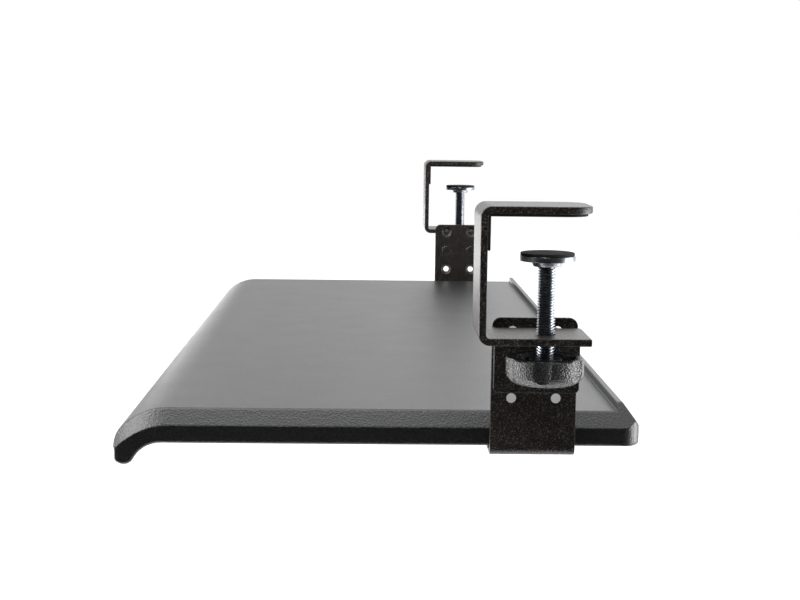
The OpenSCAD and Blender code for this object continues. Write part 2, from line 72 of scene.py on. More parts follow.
# Small helpers for materials, meshes and node trees

def startMaterial(name):
    made = bpy.data.materials.new(name)
    made.use_nodes = True
    tree = made.node_tree
    tree.nodes.clear()
    out = tree.nodes.new("ShaderNodeOutputMaterial")
    shader = tree.nodes.new("ShaderNodeBsdfPrincipled")
    tree.links.new(shader.outputs["BSDF"], out.inputs["Surface"])
    where = tree.nodes.new("ShaderNodeTexCoord").outputs["Object"]
    return made, tree, shader, where


def stretched(tree, where, scale):
    node = tree.nodes.new("ShaderNodeMapping")
    node.inputs["Scale"].default_value = scale
    tree.links.new(where, node.inputs["Vector"])
    return node.outputs["Vector"]


def noise(tree, where, size, detail=2.0):
    node = tree.nodes.new("ShaderNodeTexNoise")
    node.inputs["Scale"].default_value = 1 / size
    node.inputs["Detail"].default_value = detail
    tree.links.new(where, node.inputs["Vector"])
    return node.outputs["Fac"]


def pebbles(tree, where, size, softness=0.35):
    node = tree.nodes.new("ShaderNodeTexVoronoi")
    node.feature = "SMOOTH_F1"
    node.inputs["Scale"].default_value = 1 / size
    node.inputs["Smoothness"].default_value = softness
    tree.links.new(where, node.inputs["Vector"])
    return node.outputs["Distance"]


def spread(tree, value, low, high, toLow, toHigh, eased=False):
    node = tree.nodes.new("ShaderNodeMapRange")
    node.interpolation_type = "SMOOTHSTEP" if eased else "LINEAR"
    node.inputs["From Min"].default_value = low
    node.inputs["From Max"].default_value = high
    node.inputs["To Min"].default_value = toLow
    node.inputs["To Max"].default_value = toHigh
    tree.links.new(value, node.inputs["Value"])
    return node.outputs["Result"]


def times(tree, a, b):
    node = tree.nodes.new("ShaderNodeMath")
    node.operation = "MULTIPLY"
    tree.links.new(a, node.inputs[0])
    tree.links.new(b, node.inputs[1])
    return node.outputs["Value"]


def ramp(tree, value, stops):
    node = tree.nodes.new("ShaderNodeValToRGB")
    points = node.color_ramp.elements
    points[0].position, points[1].position = stops[0][0], stops[-1][0]
    points[0].color, points[1].color = (*stops[0][1], 1), (*stops[-1][1], 1)
    for place, colour in stops[1:-1]:
        points.new(place).color = (*colour, 1)
    tree.links.new(value, node.inputs["Fac"])
    return node.outputs["Color"]


def twoTone(tree, value, span, dark, light):
    return ramp(tree, value, [(span[0], dark), (span[1], light)])


def bump(tree, height, strength, depth, under=None):
    node = tree.nodes.new("ShaderNodeBump")
    node.inputs["Strength"].default_value = strength
    node.inputs["Distance"].default_value = depth
    tree.links.new(height, node.inputs["Height"])
    if under is not None:
        tree.links.new(under, node.inputs["Normal"])
    return node.outputs["Normal"]


def newPiece(name, mesh, material):
    made = bpy.data.objects.new(name, mesh)
    bpy.context.scene.collection.objects.link(made)
    mesh.materials.clear()
    mesh.materials.append(material)
    return made


def meshFrom(bm, name):
    mesh = bpy.data.meshes.new(name)
    bm.to_mesh(mesh)
    bm.free()
    return mesh


def bridge(bm, a, b):
    for k in range(len(a)):
        n = (k + 1) % len(a)
        bm.faces.new((a[k], a[n], b[n], b[k]))


def smoothUpTo(mesh, degrees):
    mesh.shade_smooth()
    mesh.set_sharp_from_angle(angle=math.radians(degrees))


def bakeModifiers(piece):
    shown = piece.evaluated_get(bpy.context.evaluated_depsgraph_get())
    mesh = bpy.data.meshes.new_from_object(shown)
    piece.modifiers.clear()
    piece.data = mesh


def giveTree(piece, tree, values):
    modifier = piece.modifiers.new("tree", "NODES")
    modifier.node_group = tree
    for item in tree.interface.items_tree:
        if item.in_out == "INPUT" and item.name in values:
            modifier[item.identifier] = values[item.name]
    bakeModifiers(piece)


def startTree(name, inputs):
    tree = bpy.data.node_groups.new(name, "GeometryNodeTree")
    tree.interface.new_socket("Geometry", in_out="INPUT", socket_type="NodeSocketGeometry")
    for label, kind in inputs.items():
        tree.interface.new_socket(label, in_out="INPUT", socket_type="NodeSocket" + kind)
    tree.interface.new_socket("Geometry", in_out="OUTPUT", socket_type="NodeSocketGeometry")
    return tree, tree.nodes.new("NodeGroupInput").outputs


def endTree(tree, geometry, finish):
    realize = tree.nodes.new("GeometryNodeRealizeInstances")
    paint = tree.nodes.new("GeometryNodeSetMaterial")
    out = tree.nodes.new("NodeGroupOutput")
    tree.links.new(geometry, realize.inputs["Geometry"])
    tree.links.new(realize.outputs["Geometry"], paint.inputs["Geometry"])
    tree.links.new(finish, paint.inputs["Material"])
    tree.links.new(paint.outputs["Geometry"], out.inputs["Geometry"])


# Materials

def mouldedPlastic(name, look):
    made, tree, shader, where = startMaterial(name)
    grain = pebbles(tree, where, look["grainSize"])
    fine = noise(tree, where, look["fineSize"])
    broad = noise(tree, where, look["broadSize"], detail=4)
    tree.links.new(twoTone(tree, grain, cellSpan, look["dark"], look["light"]), shader.inputs["Base Color"])
    tree.links.new(spread(tree, broad, *noiseSpan, *look["roughness"]), shader.inputs["Roughness"])
    lumps = bump(tree, grain, look["grainStrength"], look["grainDepth"])
    tree.links.new(bump(tree, fine, look["fineStrength"], look["fineDepth"], lumps),
                   shader.inputs["Normal"])
    return made


def powderCoat(name, look):
    made, tree, shader, where = startMaterial(name)
    speckle = noise(tree, where, look["speckleSize"], detail=3)
    waves = noise(tree, where, look["peelSize"])
    tree.links.new(ramp(tree, speckle, look["stops"]), shader.inputs["Base Color"])
    rough = spread(tree, speckle, *look["speckleSpan"], *look["roughness"])
    tree.links.new(rough, shader.inputs["Roughness"])
    peel = bump(tree, waves, look["peelStrength"], look["peelDepth"])
    tree.links.new(bump(tree, speckle, look["speckleStrength"], look["speckleDepth"], peel),
                   shader.inputs["Normal"])
    return made


def platedSteel(name, look):
    made, tree, shader, where = startMaterial(name)
    shader.inputs["Metallic"].default_value = 1.0
    cloud = noise(tree, where, look["cloudSize"], detail=4)
    scratch = noise(tree, stretched(tree, where, look["grainAlong"]), look["scratchSize"], detail=3)
    tree.links.new(twoTone(tree, cloud, noiseSpan, look["dull"], look["bright"]), shader.inputs["Base Color"])
    tree.links.new(spread(tree, scratch, *noiseSpan, *look["roughness"]), shader.inputs["Roughness"])
    tree.links.new(bump(tree, scratch, look["scratchStrength"], look["scratchDepth"]),
                   shader.inputs["Normal"])
    return made


def foamRubber(name, look):
    made, tree, shader, where = startMaterial(name)
    cells = pebbles(tree, where, look["cellSize"])
    cloud = noise(tree, where, look["cloudSize"], detail=3)
    shader.inputs["Specular IOR Level"].default_value = look["specular"]
    tree.links.new(twoTone(tree, cloud, noiseSpan, look["dark"], look["light"]), shader.inputs["Base Color"])
    tree.links.new(spread(tree, cells, *look["roughSpan"], *look["roughness"]), shader.inputs["Roughness"])
    tree.links.new(bump(tree, cells, look["cellStrength"], look["cellDepth"]), shader.inputs["Normal"])
    return made


trayPlastic = mouldedPlastic("trayPlastic", {
    "dark": (0.003, 0.003, 0.0035), "light": (0.019, 0.020, 0.022), "roughness": (0.35, 0.37),
    "grainSize": 1.1 * mm, "grainStrength": 0.85, "grainDepth": 0.18 * mm,
    "fineSize": 0.35 * mm, "fineStrength": 0.25, "fineDepth": 0.05 * mm, "broadSize": 30 * mm,
})
knobPlastic = mouldedPlastic("knobPlastic", {
    "dark": (0.004, 0.004, 0.004), "light": (0.060, 0.060, 0.063), "roughness": (0.16, 0.22),
    "grainSize": 0.9 * mm, "grainStrength": 1.0, "grainDepth": 0.33 * mm,
    "fineSize": 0.25 * mm, "fineStrength": 0.3, "fineDepth": 0.05 * mm, "broadSize": 9 * mm,
})
stopPlastic = mouldedPlastic("stopPlastic", {
    "dark": (0.020, 0.020, 0.020), "light": (0.040, 0.040, 0.040), "roughness": (0.45, 0.60),
    "grainSize": 1.1 * mm, "grainStrength": 0.25, "grainDepth": 0.10 * mm,
    "fineSize": 0.3 * mm, "fineStrength": 0.2, "fineDepth": 0.04 * mm, "broadSize": 4 * mm,
})
rollerNylon = mouldedPlastic("rollerNylon", {
    "dark": (0.62, 0.61, 0.57), "light": (0.74, 0.73, 0.69), "roughness": (0.32, 0.46),
    "grainSize": 1.6 * mm, "grainStrength": 0.15, "grainDepth": 0.05 * mm,
    "fineSize": 0.3 * mm, "fineStrength": 0.15, "fineDepth": 0.03 * mm, "broadSize": 3 * mm,
})
blackCoat = powderCoat("blackCoat", {
    "stops": [(0.42, (0.003, 0.003, 0.003)), (0.55, (0.014, 0.012, 0.011)), (0.68, (0.17, 0.14, 0.125))],
    "speckleSize": 0.7 * mm, "speckleSpan": (0.35, 0.7), "speckleStrength": 0.8, "speckleDepth": 0.20 * mm,
    "peelSize": 2.2 * mm, "peelStrength": 0.2, "peelDepth": 0.10 * mm, "roughness": (0.42, 0.34),
})
zincPlate = platedSteel("zincPlate", {
    "dull": (0.26, 0.28, 0.31), "bright": (0.40, 0.42, 0.45), "roughness": (0.24, 0.36),
    "cloudSize": 4 * mm, "scratchSize": 1 * mm, "grainAlong": (1, 1, 6),
    "scratchStrength": 0.12, "scratchDepth": 0.04 * mm,
})
blackScrew = platedSteel("blackScrew", {
    "dull": (0.16, 0.16, 0.17), "bright": (0.26, 0.26, 0.27), "roughness": (0.26, 0.38),
    "cloudSize": 2 * mm, "scratchSize": 1 * mm, "grainAlong": (1, 1, 1),
    "scratchStrength": 0.15, "scratchDepth": 0.04 * mm,
})
railMetal = platedSteel("railMetal", {
    "dull": (0.34, 0.35, 0.36), "bright": (0.47, 0.48, 0.49), "roughness": (0.30, 0.46),
    "cloudSize": 25 * mm, "scratchSize": 1 * mm, "grainAlong": (2, 0.03, 2),
    "scratchStrength": 0.2, "scratchDepth": 0.04 * mm,
})
softLining = foamRubber("softLining", {
    "dark": (0.012, 0.012, 0.012), "light": (0.024, 0.024, 0.024), "cloudSize": 7 * mm,
    "specular": 0.3, "roughSpan": (0.0, 0.8), "roughness": (0.95, 0.80),
    "cellSize": 0.5 * mm, "cellStrength": 0.6, "cellDepth": 0.12 * mm,
})
print("stage: materials made")


# Tray moulding, lofted along X from one cross-section

traySizes = {
    "edgeHeight": 18.9 * mm, "wall": 3 * mm, "frontWall": 4 * mm,
    "bevelWidth": 9 * mm, "bevelDrop": 8.5 * mm, "bevelRoll": 54 * mm, "bevelRollStart": 32 * mm,
    "rollRadius": 37 * mm, "rollDepth": 30 * mm, "noseRadius": 10 * mm,
    "lipRadius": 6 * mm, "sweepRadius": 17.5 * mm,
    "ridgeHeight": 4.5 * mm, "ridgeWidth": 3.4 * mm, "ridgeInset": 9.4 * mm,
    "backCorner": 12 * mm, "frontCorner": 2.5 * mm,
    "backEdge": 1.5 * mm, "crestEdge": 0.8 * mm, "crestFront": 0.7 * mm, "ridgeFoot": 0.6 * mm,
    "crease": 0.7 * mm, "topEdge": 0.5 * mm, "underEdge": 1.8 * mm,
    "flatGap": 2 * mm, "roofGap": 4 * mm,          # from a bend to the next point of a flat
    "hollowEnd": 95,                               # degrees, where the roll's inner arc stops
    "spanShares": (0.0, 0.25, 0.5, 0.75, 0.92), "fineEnd": 15 * mm, "station": 0.7 * mm, "cutGap": 0.01 * mm,
}


def arcPoints(y, z, radius, start, end, steps):
    turns = [math.radians(start + (end - start) * k / steps) for k in range(steps + 1)]
    return [(y + radius * math.cos(a), z + radius * math.sin(a)) for a in turns]


def linePoints(a, b, steps):
    shares = [k / steps for k in range(steps + 1)]
    return [(a[0] + (b[0] - a[0]) * t, a[1] + (b[1] - a[1]) * t) for t in shares]


def roundedCorner(before, corner, after, radius, steps=4):
    p, c, n = Vector(before), Vector(corner), Vector(after)
    a, b = c + (p - c).normalized() * radius, c + (n - c).normalized() * radius
    points = []
    for k in range(steps + 1):
        t = k / steps
        points.append(tuple(a * (1 - t) ** 2 + c * 2 * t * (1 - t) + b * t ** 2))
    return points


# The lesser of two values, blended where they meet
def softMin(a, b, blend):
    if blend <= 0:
        return min(a, b)
    near = max(blend - abs(a - b), 0) / blend
    return min(a, b) - near * near * blend / 4


# Cuts out the small loops that an inset leaves at tight bends
def untangled(loop, window=24):
    for i in range(len(loop) - 3):
        for j in range(min(i + window, len(loop) - 2), i + 1, -1):
            meet = intersect_line_line_2d(loop[i], loop[i + 1], loop[j], loop[j + 1])
            if meet:
                loop[i + 1:j + 1] = [tuple(meet)] * (j - i)
    return loop


# The section's outside from the back wall over the top to the lip, its hollow, and the floor at a closed end
def trayOutlines(s, depth, lipBottom):
    edge, roll, nose, lip = -s["edgeHeight"], s["rollRadius"], s["noseRadius"], s["lipRadius"]
    ridgeBack = depth - s["ridgeInset"]
    ridgeFront = ridgeBack - s["ridgeWidth"]
    noseZ = -roll + math.sqrt((roll - nose) ** 2 - (s["rollDepth"] - nose) ** 2)
    turn = math.degrees(math.atan2(noseZ + roll, nose - s["rollDepth"]))
    lipZ = lipBottom + lip
    lipTurn = 180 + math.degrees(math.acos((lip - s["frontWall"]) / lip))
    sweepZ = edge - s["sweepRadius"]
    sweepY = lip + math.sqrt((lip + s["sweepRadius"]) ** 2 - (sweepZ - lipZ) ** 2)
    meet = 360 + math.degrees(math.atan2(sweepZ - lipZ, sweepY - lip))

    back, slant = (depth, edge), (depth, -s["bevelDrop"])
    crest, crestFront = (ridgeBack, s["ridgeHeight"]), (ridgeFront, s["ridgeHeight"])
    foot = (ridgeFront, 0)
    innerBack = (depth - s["wall"], edge)
    outer = roundedCorner(innerBack, back, slant, s["backEdge"])
    slantEdge = roundedCorner(back, slant, crest, s["backEdge"])
    crestEdge = roundedCorner(slant, crest, crestFront, s["crestEdge"])
    outer += slantEdge + linePoints(slantEdge[-1], crestEdge[0], steps=12)[1:-1] + crestEdge
    outer += roundedCorner(crest, crestFront, foot, s["crestFront"])
    outer += roundedCorner(crestFront, foot, (s["rollDepth"], 0), s["ridgeFoot"])
    outer += linePoints((ridgeFront - s["flatGap"], 0), (s["rollDepth"] + s["flatGap"], 0), steps=12)
    outer += arcPoints(s["rollDepth"], -roll, roll, 90, turn, steps=18)
    outer += arcPoints(nose, noseZ, nose, turn, 180, steps=8)[1:]
    outer += arcPoints(lip, lipZ, lip, 180, lipTurn, steps=8)

    inset = s["frontWall"]
    hollow = linePoints((inset, lipBottom + inset), (inset, noseZ), steps=2)[:-1]
    hollow += arcPoints(nose, noseZ, nose - inset, 180, turn, steps=6)
    hollow += arcPoints(s["rollDepth"], -roll, roll - inset, turn, s["hollowEnd"], steps=10)[1:]
    slope = (s["bevelDrop"] + s["ridgeHeight"]) / s["ridgeInset"]
    roof, inBack = -s["wall"], depth - s["wall"]
    hollow += [(s["rollDepth"] + s["roofGap"], roof), (inBack - s["bevelDrop"] / slope, roof),
               (inBack, roof - s["bevelDrop"]), innerBack]
    floor = arcPoints(lip, lipZ, lip, lipTurn, meet, steps=8)[1:]
    floor += arcPoints(sweepY, sweepZ, s["sweepRadius"], meet - 180, 90, steps=10)[1:]
    floor += linePoints(floor[-1], innerBack, steps=len(hollow) - len(floor))[1:]
    return outer, hollow, floor


def trayShell(s):
    low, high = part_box("tray_top")
    endX, front, depth = high.x, low.y, high.y - low.y
    top = high.z - s["ridgeHeight"]
    outer, hollow, floor = trayOutlines(s, depth, low.z - top)
    wallPoints, wallFade, lipPoints = 7, 4, 10      # how far along the outline each edge's softness runs
    leastShare, tinyLength = 0.01, 1e-7
    slope = s["bevelDrop"] / s["bevelWidth"]
    lean = math.cos(math.atan(slope))
    bevelStart = endX - s["bevelWidth"]

    # the bevel at each end rolls down with the front edge
    def bevelZ(x, y):
        ahead = max(s["bevelRollStart"] - y, 0)
        drop = s["bevelRoll"] - math.sqrt(s["bevelRoll"] ** 2 - ahead ** 2)
        return -(x - bevelStart) * slope - drop / lean

    def cornerCut(x, radius, start):
        past = max(x - start, 0)
        return radius - math.sqrt(max(radius ** 2 - past ** 2, 0))

    def backWall(x, y, z):
        backCut = cornerCut(x, s["backCorner"], endX - s["backCorner"])
        return y - backCut, softMin(z, bevelZ(x, y), s["crease"])

    def outside(x, y, z, reach=depth):
        backCut = cornerCut(x, s["backCorner"], endX - s["backCorner"])
        frontCut = cornerCut(x, s["frontCorner"], endX - s["frontCorner"])
        z = softMin(z, bevelZ(x, y), s["crease"])
        y = softMin(y, reach - backCut, min(s["crease"], backCut))
        return -softMin(-y, -frontCut, min(s["crease"], frontCut)), z

    def inside(x, y, z):
        radius = s["backCorner"] - s["wall"]
        backCut = cornerCut(x, radius, endX - s["backCorner"])
        frontCut = cornerCut(x, s["frontCorner"], endX - s["wall"] - s["frontCorner"])
        z = min(z, bevelZ(x, y) - s["wall"] / lean)
        return max(min(y, depth - s["wall"] - backCut), frontCut + s["wall"]), z

    # one section at x, drawn in toward the end so that the end's edges are soft
    def ring(x, hollowed):
        loop = [backWall(x, *p) for p in outer[:wallPoints]]
        loop += [outside(x, *p) for p in outer[wallPoints:]]
        if hollowed:
            loop += [inside(x, *p) for p in hollow]
        else:
            loop += [outside(x, *p, depth - s["wall"]) for p in floor]
        soft = []
        for k in range(len(loop)):
            lip = min(max((k - len(outer) + lipPoints) / lipPoints, 0), 1)
            if k < wallPoints:
                soft.append(s["underEdge"] * max(1 - k / wallFade, leastShare))
            else:
                soft.append(s["topEdge"] + (s["underEdge"] - s["topEdge"]) * lip)
        moved, aside = [], Vector((0, 1))
        for k, point in enumerate(loop):
            along = Vector(loop[(k + 1) % len(loop)]) - Vector(loop[k - 1])
            if along.length > tinyLength:
                aside = Vector((-along.y, along.x)).normalized()
            reach = min(max((x - endX + soft[k]) / soft[k], 0), 1)
            inset = soft[k] * (1 - math.sqrt(1 - reach ** 2))
            moved.append((point[0] + aside.x * inset, point[1] + aside.y * inset))
        return untangled(moved)

    fine = int(round((s["fineEnd"] - s["wall"]) / s["station"]))
    stations = [(endX * share, True) for share in s["spanShares"]]
    stations += [(endX - s["fineEnd"] + k * s["station"], True) for k in range(fine)]
    stations += [(endX - s["wall"] - s["cutGap"], True), (endX - s["wall"], False)]
    edgeSteps = 8
    for k in range(edgeSteps + 1):
        left = 1 - math.sin(math.pi / 2 * k / edgeSteps)
        stations.append((endX - s["underEdge"] * left, False))
    both = [(-x, x, cut) for x, cut in reversed(stations[1:])] + [(x, x, cut) for x, cut in stations]

    bm = bmesh.new()
    rings = []
    for x, reach, hollowed in both:
        loop = ring(reach, hollowed)
        rings.append([bm.verts.new((x, front + y, top + z)) for y, z in loop])
    for a, b in zip(rings, rings[1:]):
        bridge(bm, a, b)
    bm.faces.new(rings[0])
    bm.faces.new(rings[-1])
    bmesh.ops.remove_doubles(bm, verts=bm.verts, dist=mergeMade)
    bmesh.ops.dissolve_degenerate(bm, edges=bm.edges, dist=mergeNear)
    bmesh.ops.recalc_face_normals(bm, faces=bm.faces)
    mesh = meshFrom(bm, "tray_shell")
    smoothUpTo(mesh, creaseAngle)
    return mesh


tray = newPiece("tray_shell", trayShell(traySizes), trayPlastic)
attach(tray, "tray")
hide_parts("tray_top")
print("stage: tray shell,", len(tray.data.polygons), "faces")


# A row of like pieces on a straight line, as one mesh

def rowTree():
    tree, given = startTree("rowOfPieces", {
        "Piece": "Object", "Count": "Int", "Start": "Vector", "Step": "Vector", "Finish": "Material"})
    line = tree.nodes.new("GeometryNodeMeshLine")
    line.mode = "OFFSET"
    tree.links.new(given["Count"], line.inputs["Count"])
    tree.links.new(given["Start"], line.inputs["Start Location"])
    tree.links.new(given["Step"], line.inputs["Offset"])
    piece = tree.nodes.new("GeometryNodeObjectInfo")
    tree.links.new(given["Piece"], piece.inputs["Object"])
    place = tree.nodes.new("GeometryNodeInstanceOnPoints")
    tree.links.new(line.outputs["Mesh"], place.inputs["Points"])
    tree.links.new(piece.outputs["Geometry"], place.inputs["Instance"])
    endTree(tree, place.outputs["Instances"], given["Finish"])
    return tree


rowOfPieces = rowTree()


def makeRow(name, sample, count, start, step, material):
    made = newPiece(name, bpy.data.meshes.new(name), material)
    giveTree(made, rowOfPieces, {"Piece": sample, "Count": count, "Start": start, "Step": step,
                                 "Finish": material})
    smoothUpTo(made.data, creaseAngle)
    return made


def joined(name, parts, material):
    bm = bmesh.new()
    for part in parts:
        bm.from_mesh(part.data)
        bpy.data.objects.remove(part)
    mesh = meshFrom(bm, name)
    smoothUpTo(mesh, creaseAngle)
    return newPiece(name, mesh, material)


# Ribs and rail seats under the tray

ribSizes = {
    "pitch": 90 * mm, "height": 11 * mm, "crossHeight": 4 * mm, "root": 2.0 * mm, "tip": 1.5 * mm, "cross": 2,
    "overlap": 1 * mm, "fromRoll": 8 * mm, "fromBack": 11 * mm, "fromRail": 1 * mm, "seatEdge": 0.3 * mm,
}


def drafted(name, length, height, root, tip):
    bm = bmesh.new()
    corners = [(-root / 2, 0), (-tip / 2, -height + tip / 2), (-tip / 4, -height),
               (tip / 4, -height), (tip / 2, -height + tip / 2), (root / 2, 0)]
    ends = [[bm.verts.new((x, y, z)) for x, z in corners] for y in (0, length)]
    bridge(bm, *ends)
    bm.faces.new(ends[0])
    bm.faces.new(ends[1])
    bmesh.ops.recalc_face_normals(bm, faces=bm.faces)
    return newPiece(name, meshFrom(bm, name), trayPlastic)


def slab(name, low, high, soft, material):
    bm = bmesh.new()
    bmesh.ops.create_cube(bm, size=1)
    size, centre = Vector(high) - Vector(low), (Vector(high) + Vector(low)) / 2
    bmesh.ops.transform(bm, verts=bm.verts, matrix=Matrix.LocRotScale(centre, None, size))
    bmesh.ops.bevel(bm, geom=bm.edges, offset=soft, segments=2, profile=0.5, affect="EDGES")
    return newPiece(name, meshFrom(bm, name), material)


def trayRibs(s, t):
    low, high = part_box("tray_top")
    roof = high.z - t["ridgeHeight"] - t["wall"]
    railLow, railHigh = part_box("rail_right")
    start = low.y + t["rollDepth"] - s["fromRoll"]
    length = high.y - s["fromBack"] - start
    steps = int(railLow.x / s["pitch"])
    rootZ = roof + s["overlap"]
    sample = drafted("ribSample", length, s["height"] + s["overlap"], s["root"], s["tip"])
    parts = [makeRow("ribRow", sample, 2 * steps + 1, (-steps * s["pitch"], start, rootZ),
                     (s["pitch"], 0, 0), trayPlastic)]
    bpy.data.objects.remove(sample)
    reach = railLow.x - s["fromRail"]
    sample = drafted("crossSample", 2 * reach, s["crossHeight"] + s["overlap"], s["root"], s["tip"])
    sample.data.transform(Matrix.Rotation(math.radians(-90), 4, "Z"))
    between = (high.y - low.y) / (s["cross"] + 1)
    parts.append(makeRow("crossRow", sample, s["cross"], (-reach, low.y + between, rootZ),
                         (0, between, 0), trayPlastic))
    bpy.data.objects.remove(sample)
    for way in sides.values():
        x0, x1 = sorted((way * railLow.x, way * railHigh.x))
        parts.append(slab("seat", (x0, railLow.y, railHigh.z), (x1, railHigh.y, rootZ),
                          s["seatEdge"], trayPlastic))
    return joined("tray_ribs", parts, trayPlastic)


ribs = trayRibs(ribSizes, traySizes)
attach(ribs, "tray")
print("stage: tray ribs,", len(ribs.data.polygons), "faces")


# Pieces that keep the solid's shape and get softened edges

softEdges = {
    "clamp_strap": {"body": "clamps", "soft": 0.8 * mm, "material": blackCoat, "slot": "powder_coat"},
    "slide_bracket": {"body": "clamps", "soft": 0.6 * mm, "material": blackCoat, "slot": "powder_coat"},
    "jaw_lining": {"body": "clamps", "soft": 0.4 * mm, "material": softLining, "slot": "soft_lining"},
    "rail": {"body": "tray", "soft": 0.2 * mm, "material": railMetal, "slot": "rail_aluminium"},
    "rail_stops": {"body": "tray", "soft": 0.4 * mm, "material": stopPlastic, "slot": "stop_plastic"},
    "knob": {"body": "screw", "soft": 0.4 * mm, "material": knobPlastic, "slot": "knob_plastic"},
    "knob_nut": {"body": "screw", "soft": 0.3 * mm, "material": zincPlate, "slot": "zinc_plate"},
    "pressure_foot": {"body": "foot", "soft": 0.4 * mm, "material": zincPlate, "slot": "zinc_plate"},
    "foot_face": {"body": "foot", "soft": 0.4 * mm, "material": softLining, "slot": "soft_lining"},
}
softRules = {
    "sharp": 30, "flat": 0.5, "shade": 35,         # degrees
    "room": 1.2, "steps": 2, "flatWeight": 100,
}


# Sharp outer edges that have room for the softening on both faces and end at no inner corner
def outerEdges(bm, width):
    limit = math.radians(softRules["sharp"])
    sharp = [e for e in bm.edges if e.is_manifold and e.calc_face_angle() > limit]
    fixed = set()
    for edge in sharp:
        need = edge.calc_length() * width * softRules["room"]
        if not edge.is_convex or any(f.calc_area() < need for f in edge.link_faces):
            fixed.update(edge.verts)
    return [e for e in sharp if fixed.isdisjoint(e.verts)]


def softened(nodeName, width, material):
    bm = bmesh.new()
    bm.from_mesh(frame["nodes"][nodeName].data)
    bmesh.ops.remove_doubles(bm, verts=bm.verts, dist=mergeNear)
    flat = math.radians(softRules["flat"])
    bmesh.ops.dissolve_limit(bm, angle_limit=flat, verts=bm.verts, edges=bm.edges)
    weight = bm.edges.layers.float.new("bevel_weight_edge")
    for edge in outerEdges(bm, width):
        edge[weight] = 1.0
    made = newPiece(nodeName + "_soft", meshFrom(bm, nodeName + "_soft"), material)
    carried = made.data.attributes.get("custom_normal")      # would spoil the shading of the new edges
    if carried:
        made.data.attributes.remove(carried)
    edges = made.modifiers.new("edges", "BEVEL")
    edges.limit_method = "WEIGHT"
    edges.use_clamp_overlap = False
    edges.loop_slide = False
    edges.width = width
    edges.segments = softRules["steps"]
    bakeModifiers(made)
    bm = bmesh.new()
    bm.from_mesh(made.data)
    bmesh.ops.remove_doubles(bm, verts=bm.verts, dist=mergeMade)
    bmesh.ops.dissolve_degenerate(bm, edges=bm.edges, dist=mergeMade)
    bm.to_mesh(made.data)
    bm.free()
    smoothUpTo(made.data, softRules["shade"])
    flats = made.modifiers.new("flats", "WEIGHTED_NORMAL")
    flats.weight = softRules["flatWeight"]
    flats.keep_sharp = True
    bakeModifiers(made)
    return made


for nodeName, look in softEdges.items():
    for side in sides:
        name = nodeName + "_" + side
        body = look["body"] if look["body"] in frame["bodies"] else look["body"] + "_" + side
        made = softened(name, look["soft"], look["material"])
        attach(made, body)
        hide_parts(name)
print("stage: soft-edged pieces made")


# Clamp screws with a rolled thread

threadSizes = {
    "pitch": 1.5 * mm, "core": 4.1 * mm, "crest": 4.97 * mm, "crestWidth": 0.25 * mm, "rootWidth": 1.32 * mm,
    "sink": 0.1 * mm, "tip": 3.5 * mm, "underFoot": 0.8 * mm, "perTurn": 36, "rodSides": 48, "shade": 25,
}


def threadTree(rodSides):
    tree, given = startTree("rolledThread", {
        "Place": "Vector", "Tip Place": "Vector",
        "Turns": "Float", "Length": "Float", "Tip Length": "Float", "Core": "Float", "Middle": "Float",
        "Ridge": "Float", "Crest Width": "Float", "Root Width": "Float", "Tip": "Float",
        "Per Turn": "Int", "Finish": "Material"})
    path = tree.nodes.new("GeometryNodeCurveSpiral")
    tree.links.new(given["Per Turn"], path.inputs["Resolution"])
    tree.links.new(given["Turns"], path.inputs["Rotations"])
    tree.links.new(given["Middle"], path.inputs["Start Radius"])
    tree.links.new(given["Middle"], path.inputs["End Radius"])
    tree.links.new(given["Length"], path.inputs["Height"])
    upright = tree.nodes.new("GeometryNodeSetCurveNormal")
    upright.mode = "Z_UP"
    tree.links.new(path.outputs["Curve"], upright.inputs["Curve"])
    ridge = tree.nodes.new("GeometryNodeCurvePrimitiveQuadrilateral")
    ridge.mode = "TRAPEZOID"
    tree.links.new(given["Ridge"], ridge.inputs["Height"])
    tree.links.new(given["Root Width"], ridge.inputs["Bottom Width"])
    tree.links.new(given["Crest Width"], ridge.inputs["Top Width"])
    ridge.inputs["Offset"].default_value = 0
    turned = tree.nodes.new("GeometryNodeTransform")
    turned.inputs["Rotation"].default_value = (0, 0, math.radians(90))
    tree.links.new(ridge.outputs["Curve"], turned.inputs["Geometry"])
    sweep = tree.nodes.new("GeometryNodeCurveToMesh")
    sweep.inputs["Fill Caps"].default_value = True
    tree.links.new(upright.outputs["Curve"], sweep.inputs["Curve"])
    tree.links.new(turned.outputs["Geometry"], sweep.inputs["Profile Curve"])
    join = tree.nodes.new("GeometryNodeJoinGeometry")
    moved = tree.nodes.new("GeometryNodeTransform")
    tree.links.new(sweep.outputs["Mesh"], moved.inputs["Geometry"])
    tree.links.new(given["Place"], moved.inputs["Translation"])
    tree.links.new(moved.outputs["Geometry"], join.inputs["Geometry"])
    for radius, length, place in (("Core", "Length", "Place"), ("Tip", "Tip Length", "Tip Place")):
        rod = tree.nodes.new("GeometryNodeMeshCylinder")
        rod.inputs["Vertices"].default_value = rodSides
        tree.links.new(given[radius], rod.inputs["Radius"])
        tree.links.new(given[length], rod.inputs["Depth"])
        half = tree.nodes.new("ShaderNodeMath")
        half.operation = "MULTIPLY"
        half.inputs[1].default_value = 0.5
        tree.links.new(given[length], half.inputs[0])
        lift = tree.nodes.new("ShaderNodeCombineXYZ")
        tree.links.new(half.outputs[0], lift.inputs["Z"])
        raised = tree.nodes.new("GeometryNodeTransform")
        tree.links.new(rod.outputs["Mesh"], raised.inputs["Geometry"])
        tree.links.new(lift.outputs["Vector"], raised.inputs["Translation"])
        put = tree.nodes.new("GeometryNodeTransform")
        tree.links.new(raised.outputs["Geometry"], put.inputs["Geometry"])
        tree.links.new(given[place], put.inputs["Translation"])
        tree.links.new(put.outputs["Geometry"], join.inputs["Geometry"])
    endTree(tree, join.outputs["Geometry"], given["Finish"])
    return tree


